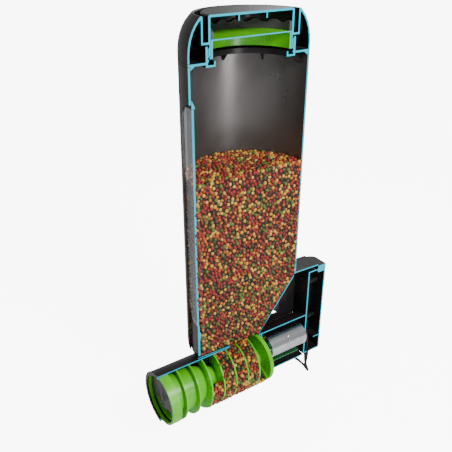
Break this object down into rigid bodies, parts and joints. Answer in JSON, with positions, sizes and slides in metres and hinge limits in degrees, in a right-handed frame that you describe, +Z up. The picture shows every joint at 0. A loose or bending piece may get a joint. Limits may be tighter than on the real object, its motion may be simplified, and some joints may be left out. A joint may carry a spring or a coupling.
{
  "type": "automatic pet feeder",
  "caption": "Sectioned automatic pet feeder: tall hopper of dry kibble, screw lid, green auger in a front spout, gearmotor behind it and a mains lead.",
  "frame": {"origin": "centre of the flat seat under the rear wiring compartment, which the feeder hangs on", "axes": "+Z up along the hopper, -Y towards the spout, +X out of the sectioned face"},
  "size_m": [0.2229, 0.2986, 0.5972],
  "materials": {
    "black_casing": "satin moulded, cut faces painted cyan",
    "green_plastic": "satin moulded",
    "clear_window": "clear polycarbonate",
    "grey_plastic": "satin",
    "black_rubber": "matte",
    "steel": "bright plated",
    "brass": "machined",
    "circuit_board": "solder mask",
    "kibble": "dry baked"
  },
  "bodies": {
    "feeder_body": {"auger_tube": "black_casing", "board_post_1": "brass", "board_post_2": "brass", "compartment_floor": "black_casing", "control_board": "circuit_board", "cord_coil": "black_rubber", "cord_gland": "black_rubber", "cord_lead": "black_rubber", "cord_tail": "black_rubber", "cover_boss_1": "black_casing", "cover_boss_2": "black_casing", "gearbox_case": "steel", "gearbox_plate": "steel", "hopper_funnel": "black_casing", "hopper_neck": "black_casing", "hopper_shell": "black_casing", "housing_shell": "black_casing", "inner_lead": "black_rubber", "kibble_fill": "kibble", "motor_bulkhead": "black_casing", "motor_can": "steel", "motor_cradle": "black_casing", "motor_end_cap": "grey_plastic", "motor_magnet": "grey_plastic", "motor_screw_1": "steel", "motor_screw_2": "steel", "motor_standoff_1": "brass", "motor_standoff_2": "brass", "motor_tunnel": "black_casing", "output_bushing": "brass", "plug_pin_1": "steel", "plug_pin_2": "steel", "power_plug": "black_rubber", "rear_partition": "black_casing", "shaft_seal": "black_rubber", "spout_ring": "black_casing", "window_clip": "black_casing", "window_pane": "clear_window", "window_sill": "black_casing"},
    "auger": {"auger_screw": "green_plastic", "auger_nose": "black_casing", "auger_kibble": "kibble", "auger_kibble_front": "kibble", "output_shaft": "steel"},
    "idler": {"reduction_gear": "brass"},
    "rotor": {"motor_rotor": "steel"},
    "lid_seal_ring": {"lid_seal": "black_rubber"},
    "lid": {"lid_cap": "black_casing", "lid_cup": "green_plastic", "lid_retainer": "grey_plastic"},
    "back_cover": {"rear_cover": "black_casing", "cover_screw_1": "steel", "cover_screw_2": "steel"}
  },
  "joints": [
    {"name": "auger_spin", "type": "hinge", "parent": "feeder_body", "child": "auger", "pos_m": [0.02, -0.131, 0.038], "axis": [0, 1, 0], "continuous": true},
    {"name": "idler_spin", "type": "hinge", "parent": "feeder_body", "child": "idler", "pos_m": [0.01239, -0.071, 0.04448], "axis": [0, 1, 0], "continuous": true},
    {"name": "rotor_spin", "type": "hinge", "parent": "feeder_body", "child": "rotor", "pos_m": [0.02, -0.051, 0.0489], "axis": [0, 1, 0], "continuous": true},
    {"name": "lid_rise", "type": "slide", "parent": "feeder_body", "child": "lid_seal_ring", "axis": [0, 0, 1], "range_m": [0, 0.0176]},
    {"name": "lid_turn", "type": "hinge", "parent": "lid_seal_ring", "child": "lid", "pos_m": [0.02, -0.131, 0.5075], "axis": [0, 0, 1], "range_deg": [0, 420]},
    {"name": "back_cover_slide", "type": "slide", "parent": "feeder_body", "child": "back_cover", "axis": [0, 1, 0], "range_m": [0, 0.06]}
  ],
  "couplings": [
    {"joint": "idler_spin", "follows": "auger_spin", "ratio": -1.5},
    {"joint": "rotor_spin", "follows": "auger_spin", "ratio": 4.5},
    {"joint": "lid_rise", "follows": "lid_turn", "m_per_rad": 0.0023873}
  ]
}
